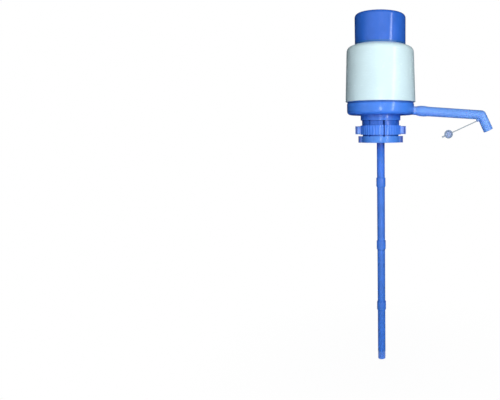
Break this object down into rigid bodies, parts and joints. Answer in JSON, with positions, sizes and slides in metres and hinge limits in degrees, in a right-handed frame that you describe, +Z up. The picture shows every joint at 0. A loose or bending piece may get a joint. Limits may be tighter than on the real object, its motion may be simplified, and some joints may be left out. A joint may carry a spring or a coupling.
{
  "type": "water jug hand pump",
  "caption": "Hand pump for a bottled-water jug: domed press cap over a bellows, slotted neck clamp with sliding lock ring, long dip tube and turned-down spout with a strapped stopper.",
  "frame": {"origin": "on the pump's axis at the height of the jug's lip, where the neck gasket seals", "axes": "+Z up along the pump's axis, +X towards the spout, -Y the front that the picture shows"},
  "size_m": [0.2582, 0.1218, 0.6195],
  "materials": {
    "cap_blue": "satin moulded",
    "blue": "satin moulded",
    "white": "satin moulded",
    "spout_blue": "slightly translucent",
    "tube_blue": "translucent",
    "stopper_lilac": "translucent soft moulding",
    "natural": "natural flexible moulding",
    "rubber": "matte grey",
    "steel": "bright"
  },
  "bodies": {
    "base": {"base_body": "blue", "base_screw_1": "steel", "base_screw_2": "steel", "base_screw_3": "steel", "base_screw_4": "steel", "bellows_clamp_ring": "white", "valve_plate": "white", "deck_seal": "rubber", "delivery_valve": "rubber", "neck_gasket": "rubber", "neck_collet": "blue", "housing_cover": "white", "dip_tube_1": "tube_blue", "dip_tube_2": "tube_blue", "dip_tube_3": "tube_blue", "dip_tube_4": "tube_blue", "spout_o_ring": "rubber", "bellows": "natural", "return_spring": "steel"},
    "press": {"press_cap": "cap_blue", "bellows_top_plate": "white", "intake_valve": "rubber"},
    "lock": {"lock_ring": "blue"},
    "spout": {"spout": "spout_blue"},
    "cap": {"outlet_cap": "stopper_lilac"}
  },
  "joints": [
    {"name": "press_slide", "type": "slide", "parent": "base", "child": "press", "axis": [0, 0, -1], "range_m": [0, 0.04], "stiffness_N_per_m": 500, "springref_m": -0.012, "deforming": ["bellows", "return_spring"]},
    {"name": "lock_slide", "type": "slide", "parent": "base", "child": "lock", "axis": [0, 0, 1], "range_m": [-0.0021, 0.0085]},
    {"name": "spout_turn", "type": "hinge", "parent": "base", "child": "spout", "pos_m": [0, 0, 0.0169], "axis": [0.9976, 0, -0.0698], "continuous": true},
    {"name": "strap_swing", "type": "hinge", "parent": "spout", "child": "cap", "pos_m": [0.1705, 0, -0.00535], "axis": [0, -1, 0], "range_deg": [-20, 64]}
  ]
}
